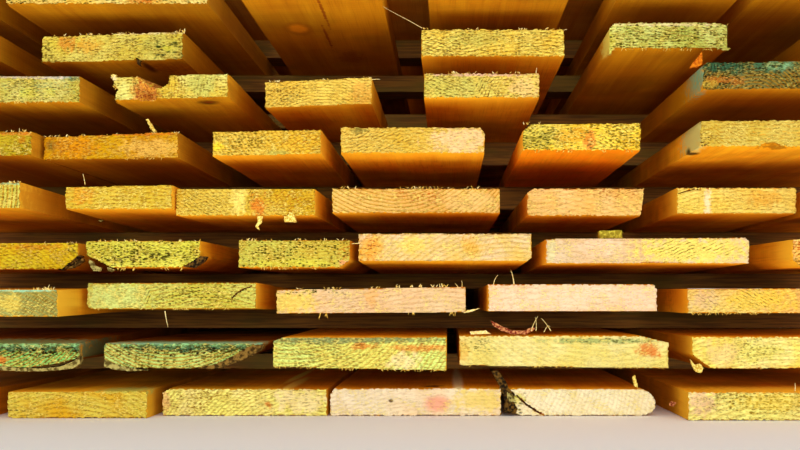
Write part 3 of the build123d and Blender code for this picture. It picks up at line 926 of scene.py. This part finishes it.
# The stickers: narrow battens laid across every course, so that air can pass over the boards.
# They are old sawn strips, used many times, and have weathered to olive brown.
def batten_wood():
    """Weathered batten wood, with its grain along X."""
    material, tree, place, shader = start_material("weathered batten")
    fibres = mottle(tree, stretch(tree, place, (0.02, 0.5, 0.5)), 1.0, 3.0)
    broad = mottle(tree, stretch(tree, place, (0.01, 0.04, 0.04)), 1.0, 2.0)
    colour = blend(tree, ramp(tree, fibres, 0.35, 0.65), (160, 104, 22), (116, 72, 12))
    colour = blend(tree, ramp(tree, broad, 0.45, 0.65, 0.0, 0.6), colour, (116, 98, 18))
    finish_material(tree, shader, colour, fibres, roughness=0.85, strength=0.5, depth=0.0006)
    return material


batten = batten_wood()
for line in range(1, 5):
    stickers_node = f"stickers_line_{line}"
    stickers = rough_copy(stickers_node, columns=0.014, rows=far, seed=20 + line)
    finish_copy(stickers, stickers_node, [batten])


# Bark and inner bark that still cling to some boards: grey and brown crumbling layers under the
# round sides of the slabs and along the wanes, cut through by the saw together with the boards.
def loose_wood(name, light, dark, lumps=0.35):
    """Weathered bark or torn wood, mottled between two colours; the same mottle also paints the shade in
    gaps behind bark.
    """
    material, tree, place, shader = start_material(name)
    patches = mottle(tree, place, lumps, 4.0)
    colour = blend(tree, ramp(tree, patches, 0.4, 0.6), light, dark)
    finish_material(tree, shader, colour, patches, roughness=0.9, strength=0.7, depth=0.001, gloss=0.1)
    return material


def finish_bit(name, data, material):
    """A loose bit as a piece of the stack."""
    data.materials.clear()
    data.materials.append(material)
    piece = bpy.data.objects.new(name, data)
    bpy.context.scene.collection.objects.link(piece)
    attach(piece, "root")


# Loose bits: the cells of their grid and their lumps, in metres
bit_cell = 0.0012
bit_lump = 0.0009


def flake(name, course, board, behind, thick, material, outline):
    """A thin ragged bit with an outline in pixels, upright behind a board's end, in millimetres."""
    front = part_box(board_node(course, board))[0][1] + behind / per_metre
    half = thick / 2 / per_metre
    curve = bpy.data.curves.new(name + " outline", "CURVE")
    curve.dimensions = "2D"
    curve.fill_mode = "BOTH"
    curve.extrude = half
    spline = curve.splines.new("POLY")
    spline.points.add(len(outline) - 1)
    for point, (u, v) in zip(spline.points, outline):
        spot = seen(u, v, front)
        point.co = (spot.x, spot.z, 0, 1)
    spline.use_cyclic_u = True
    mesh = bmesh.new()
    mesh.from_mesh(bpy.data.meshes.new_from_object(bpy.data.objects.new(name + " outline", curve)))
    upright = Matrix.Translation((0, front + half, 0)) @ Matrix.Rotation(radians(90), 4, "X")
    bmesh.ops.transform(mesh, matrix=upright, verts=mesh.verts)
    bmesh.ops.remove_doubles(mesh, verts=mesh.verts, dist=1e-6)
    for axis in (0, 2):
        places = [vert.co[axis] for vert in mesh.verts]
        slice_up(mesh, region(mesh, -far, far), axis, steps(min(places), max(places), bit_cell))
    mesh.normal_update()
    for vert in mesh.verts:
        lump = noise.noise(vert.co * 420) + 0.6 * noise.noise(vert.co * 1100)
        vert.co += vert.normal * (lump - 0.35) * bit_lump
    for face in mesh.faces:
        face.smooth = True
    data = bpy.data.meshes.new(name)
    mesh.to_mesh(data)
    mesh.free()
    data.set_sharp_from_angle(angle=radians(40))
    finish_bit(name, data, material)


def fibres(name, material, threads):
    """Fine fibres and lines of painted shade that thin to their tips: board, radius in mm, points in
    pixels.
    """
    curve = bpy.data.curves.new(name + " threads", "CURVE")
    curve.dimensions = "3D"
    curve.bevel_depth = 1 / per_metre
    curve.bevel_resolution = 0
    curve.resolution_u = 3
    for course, board, radius, points in threads:
        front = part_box(board_node(course, board))[0][1] + 1 / per_metre
        spline = curve.splines.new("NURBS")
        spline.points.add(len(points) - 1)
        for k, (point, (u, v)) in enumerate(zip(spline.points, points)):
            point.co = (*seen(u, v, front), 1)
            point.radius = radius * (1 - 0.6 * k / (len(points) - 1))
        spline.order_u = min(3, len(points))
        spline.use_endpoint_u = True
    finish_bit(name, bpy.data.meshes.new_from_object(bpy.data.objects.new(name, curve)), material)


grey_bark = loose_wood("grey bark", (180, 166, 92), (92, 76, 30), 0.25)
brown_bark = loose_wood("brown bark", (136, 102, 42), (62, 42, 10), 0.25)
dark_bark = loose_wood("dark bark", (104, 72, 24), (26, 16, 4))
flake("slab_1_bark", 2, 1, -0.6, 9, grey_bark,
      [(0, 366), (20, 368), (44, 368), (60, 366.5), (73, 361), (80, 356), (80, 364), (72, 369),
       (58, 370.5), (40, 371.5), (20, 371.5), (0, 370.5)])
flake("slab_2_bark_left", 2, 2, -0.6, 9, grey_bark,
      [(104, 359), (112, 362.5), (122, 366), (136, 368.6), (148, 370.2), (130, 371.5), (113, 369.8),
       (104, 366.5)])
flake("slab_2_bark_right", 2, 2, -0.6, 9, brown_bark,
      [(198, 367.4), (212, 364.6), (222, 361), (236, 354.4), (248, 346.6), (257, 344.4), (264, 345.6),
       (262, 350), (251, 356.5), (238, 362), (224, 367), (209, 369.4)])
flake("wane_bark_a", 4, 1, 1, 7, dark_bark,
      [(57, 270), (70, 260), (80, 255), (83, 256.5), (74, 263), (63, 270.6)])
flake("wane_bark_b", 4, 1, 2, 5, brown_bark, [(66, 269.5), (76, 261.5), (83, 258), (84, 261), (74, 268)])
flake("wane_bark_c", 4, 2, 1, 5, grey_bark,
      [(88, 259), (92, 261), (94, 265), (101, 268), (99, 271.5), (93, 271), (90, 267)])
flake("wane_bark_d", 4, 2, 2, 4, grey_bark,
      [(107, 267), (112, 268.5), (115, 270), (111, 272), (108, 271)])
flake("wane_bark_e", 4, 2, 1, 8, dark_bark,
      [(184, 267), (192, 259), (198, 255.5), (207, 256.4), (203, 262), (194, 268)])
flake("heart_bark_a", 1, 5, -0.5, 9, dark_bark,
      [(491, 371), (498, 370.4), (505, 380), (509, 388), (515, 394), (514, 402), (518, 409), (516, 414),
       (503, 413), (505, 402), (502, 392), (497, 382)])
flake("heart_bark_b", 1, 5, -0.8, 5, grey_bark,
      [(507, 392), (513, 394), (516, 401), (510, 403), (507, 398)])
# Painted shade: dark threads along the upper edges of the slabs' bark, where the gap between bark and
# wood lies in shade.
gap_shade = loose_wood("painted shade behind the bark", soot, (44, 30, 8))
fibres("bark_gap_shade", gap_shade, [
    (2, 1, 0.75, [(0, 366), (20, 368), (44, 368), (60, 366.5), (73, 361), (80, 355), (80, 355)]),
    (2, 2, 0.75, [(147, 370), (136, 368.4), (120, 365), (104, 358.4), (104, 358.4)]),
    (2, 2, 0.8, [(196, 367.5), (212, 364), (224, 359.5), (236, 353.6), (247, 346), (247, 346)])])


# Loose bits that the saw and the wind left on the ends and in the gaps: splinters, shavings,
# chips and the fuzz of torn fibres along the boards' edges. They lie or cling there loosely.
raw_chip = loose_wood("raw chip", (246, 226, 120), (206, 168, 60), 0.6)
white_fibre = loose_wood("white fibre", (255, 238, 166), (238, 206, 112), 0.6)
gold_fibre = loose_wood("gold fibre", (244, 208, 96), (190, 138, 34), 0.6)
red_shaving = loose_wood("red shaving", (206, 138, 84), (118, 34, 18), 0.5)
olive_offcut = loose_wood("olive offcut", (206, 186, 60), (150, 130, 30), 0.3)
orange_chip = loose_wood("orange chip", (244, 140, 24), (206, 96, 10), 0.4)
flake("stick", 6, 2, 2, 2, raw_chip, [(145.6, 119.4), (148.4, 118.6), (156.6, 131.8), (153, 133.4)])
flake("splinter", 3, 3, 1, 1.5, white_fibre, [(462, 313), (468, 309.8), (480, 308.2), (471, 312.2)])
flake("curled_shaving", 2, 4, 3, 4, red_shaving,
      [(490.5, 320.5), (496, 322.6), (503, 326.4), (512, 330.2), (524, 330.8), (533, 326.6), (536, 329),
       (527, 334.4), (512, 334.6), (500, 330.4), (493, 325.6)])
flake("flat_chip", 2, 4, 2, 6, white_fibre, [(470, 331.6), (486, 330.4), (491, 334), (471, 335)])
flake("hanging_chip", 2, 5, 1, 3, raw_chip,
      [(690, 359), (695, 364.5), (700, 363.5), (704, 368), (702, 373), (696, 372.6), (692.4, 367)])
flake("upright_chip", 1, 5, 2, 2, raw_chip,
      [(632, 377), (635, 375), (637, 381), (638.6, 389), (634, 386)])
flake("pink_chip", 1, 5, 3, 2, red_shaving,
      [(668.6, 404), (672, 400.8), (676, 402.8), (674, 407), (670, 406)])
flake("pale_fleck", 5, 2, 4, 2, grey_bark, [(98, 220.2), (101, 219.6), (103.4, 220.6), (100.4, 221.8)])
flake("hanging_fibre", 5, 3, 1, 2, raw_chip,
      [(257, 215), (263, 216), (261.6, 223), (258.6, 226), (259.6, 230.4), (254.8, 227), (257.4, 221.6)])
flake("yellow_block", 5, 3, 0.5, 6, raw_chip,
      [(284, 216.4), (288, 214.6), (290, 211), (294, 214.6), (296.4, 222), (284, 222)])
flake("offcut_block", 4, 5, 6, 12, olive_offcut, [(599, 230.4), (622, 230), (622.6, 238.4), (600, 238.4)])
flake("orange_sliver", 8, 4, 1, 3, orange_chip,
      [(702.6, 51), (702.6, 64), (698, 67), (689, 68), (695, 60)])
flake("torn_knot", 8, 2, 0.5, 4, dark_bark,
      [(135.6, 57), (142, 57.6), (140, 62.6), (141.4, 66.4), (137, 64)])
flake("white_corner", 7, 2, 0, 3, raw_chip, [(110, 75), (113, 73.6), (117, 75), (115, 78), (112.6, 78)])
fibres("single_fibres", white_fibre, [
    (8, 3, 0.3, [(422, 28), (410, 21), (396, 14), (382, 6)]),
    (5, 2, 0.4, [(85, 184.5), (84.6, 180), (83, 174)]),
    (6, 1, 0.4, [(19.4, 132), (19.4, 128)]),
    (3, 2, 0.55, [(165, 311), (165.6, 317), (168, 327)]),
    (3, 1, 0.45, [(47, 291), (48, 288), (49.4, 284.6)]),
    (3, 1, 0.35, [(51, 291), (48, 288.6), (44, 287)]),
    (3, 4, 0.4, [(493.6, 284.5), (494, 279), (498, 275)]),
    (3, 4, 0.6, [(514, 284.5), (513.6, 278), (511, 270.6)]),
    (2, 4, 0.45, [(531, 331), (533.6, 323), (538, 316)]),
    (2, 4, 0.35, [(536, 331), (537, 322), (535, 317)]),
    (2, 4, 0.4, [(551, 331), (546.6, 323.6), (541, 318)]),
    (2, 4, 0.35, [(544, 332), (548, 323), (550, 327)]),
    (7, 3, 0.5, [(368, 79.6), (374, 79.2), (380, 79.2)]),
    (4, 4, 0.45, [(360, 243.4), (356, 243.2), (351.6, 243.8)]),
    (1, 6, 0.5, [(795, 391), (795.4, 387), (795, 383)]),
    (7, 4, 0.5, [(536, 75), (536, 71.6), (536.8, 68)]),
    (8, 3, 0.45, [(562, 31), (564, 30), (567, 29.2)]),
    (3, 3, 0.35, [(462, 287), (462.4, 283.6), (461.6, 280.6)]),
    (3, 3, 0.35, [(458, 287), (456.6, 284.6), (454.8, 283.4)])])

# Each edge with its course and board, first and last pixel across, height at both, and the count
# and length of its fibres, which stand up where the length is negative
chance = Random(7)
thinned_out = 0.7
fringes = [
    (8, 2, 44, 182, 36, 32, 40, -1.3), (8, 2, 176, 186, 33, 32, 16, -2.6),
    (8, 4, 612, 728, 24, 26, 46, -1.6), (8, 4, 612, 728, 48.6, 49.4, 40, 1.6),
    (8, 3, 424, 562, 29, 29, 30, -1.2), (7, 4, 426, 538, 73, 73, 30, -1.4),
    (7, 4, 426, 538, 97, 97, 20, 1.2), (7, 1, 0, 80, 102, 100, 36, 1.8),
    (7, 2, 112, 118, 80, 97, 12, -2.0), (7, 3, 266, 370, 82, 78, 26, -1.3),
    (6, 1, 2, 30, 132, 131, 10, -1.4), (6, 2, 46, 178, 158, 158, 40, 1.5),
    (6, 2, 46, 178, 136.6, 132.8, 34, -1.2), (6, 5, 528, 640, 151, 151, 26, 1.3),
    (6, 5, 524, 540, 124, 124, 10, -1.8), (5, 1, 0, 22, 183, 182.6, 14, -1.8),
    (5, 4, 334, 498, 188, 188, 40, -1.5), (4, 1, 38, 76, 243.6, 243.6, 16, -1.6),
    (4, 2, 88, 200, 241, 241, 36, -1.4), (4, 2, 112, 182, 268.4, 268.4, 24, 1.6),
    (4, 3, 240, 350, 240, 240, 34, -1.4), (4, 3, 240, 340, 268, 268, 26, 1.4),
    (3, 1, 0, 56, 291, 290, 40, -2.2), (3, 3, 396, 466, 287, 286, 34, -2.2),
    (3, 3, 278, 396, 289, 287.6, 26, -1.2), (3, 3, 318, 328, 313, 313, 8, 4.5),
    (3, 3, 408, 414, 312, 312, 5, 2.6), (3, 3, 451, 458, 311.6, 311.6, 6, 3.0),
    (3, 2, 90, 256, 308.6, 308.6, 40, 1.3), (3, 5, 690, 798, 313, 313, 40, 1.6),
    (2, 3, 274, 446, 367, 370.4, 60, 1.5), (2, 4, 460, 664, 365, 367.6, 60, 1.4),
    (2, 5, 712, 798, 367.6, 367.6, 22, 1.2), (1, 5, 640, 654, 398, 411, 16, 2.4)]
fuzz = {"pale": [], "gold": []}
for course, board, start, end, start_height, end_height, count, length in fringes:
    for k in range(round(thinned_out * count)):
        clump = chance.random() if k % 3 == 0 else clump
        share = min(1.0, max(0.0, clump + chance.gauss(0, 0.025)))
        u, v = start + (end - start) * share, start_height + (end_height - start_height) * share
        reach = length * chance.uniform(0.5, 1.5)
        lean = chance.uniform(-2.4, 2.4)
        points = [(u, v - reach * 0.3), (u + lean * 0.3, v + reach * 0.4), (u + lean, v + reach)]
        shade = "pale" if length < 0 and chance.random() < 0.5 else "gold"
        fuzz[shade].append((course, board, chance.uniform(0.3, 0.65), points))
fibres("pale_fuzz", white_fibre, fuzz["pale"])
fibres("gold_fuzz", gold_fibre, fuzz["gold"])


# The floor under the stack and a pale studio round it, as wide as any view needs. The lamps are
# soft, and the lowest boards get light from a strip that stands close to the floor.
floor_data = bpy.data.meshes.new("floor")
floor_mesh = bmesh.new()
bmesh.ops.create_grid(floor_mesh, x_segments=1, y_segments=1, size=10 * far)
floor_mesh.to_mesh(floor_data)
floor_mesh.free()
floor_paint, _, _, floor_shader = start_material("studio floor")
floor_shader.inputs["Base Color"].default_value = srgb(248, 248, 248)
floor_shader.inputs["Roughness"].default_value = 0.9
floor_data.materials.append(floor_paint)
floor = bpy.data.objects.new("studio_floor", floor_data)
bpy.context.scene.collection.objects.link(floor)

world = bpy.data.worlds.new("studio")
bpy.context.scene.world = world
world.use_nodes = True
sky = world.node_tree.nodes["Background"]
sky.inputs["Color"].default_value = (1, 1, 1, 1)

# How strongly the sky lights the stack, and how bright the camera and clear rays see it
sky_light = 0.68
sky_seen = 0.9
rays = add(world.node_tree, "LightPath").outputs
clear = calc(world.node_tree, "MAXIMUM", rays["Is Glossy Ray"], rays["Is Transmission Ray"])
clear = calc(world.node_tree, "MAXIMUM", rays["Is Camera Ray"], clear)
strength = ramp(world.node_tree, clear, 0, 1, sky_light, sky_seen)
world.node_tree.links.new(strength, sky.inputs["Strength"])


def softbox(name, width, height, power, place, target, spread=180):
    """A soft lamp that stands at a place and faces a target; a grid before it narrows its spread."""
    data = bpy.data.lights.new(name, "AREA")
    data.shape = "RECTANGLE"
    data.size = width
    data.size_y = height
    data.energy = power
    data.spread = radians(spread)
    lamp = bpy.data.objects.new(name, data)
    lamp.location = place
    lamp.rotation_euler = (Vector(target) - lamp.location).to_track_quat("-Z", "Y").to_euler()
    lamp.visible_camera = False
    bpy.context.scene.collection.objects.link(lamp)


softbox("softbox above", 2.6, 1.4, 6, (0.3, -3.2, 2.2), (0, -1.2, 0.2))
softbox("softbox in front", 2.6, 0.5, 2.5, (0, -3.7, 0.4), (0, -1.2, 0.22), 50)
softbox("strip with grid", 2.4, 0.05, 0.12, (0.05, -2.6, 0.026), (0.05, -1.2, 0.02), 5)
softbox("softbox low", 1.8, 0.4, 3.9, (0.05, -1.48, 0.02), (0.05, -1.48, 1))

bpy.context.scene.view_settings.view_transform = "Standard"
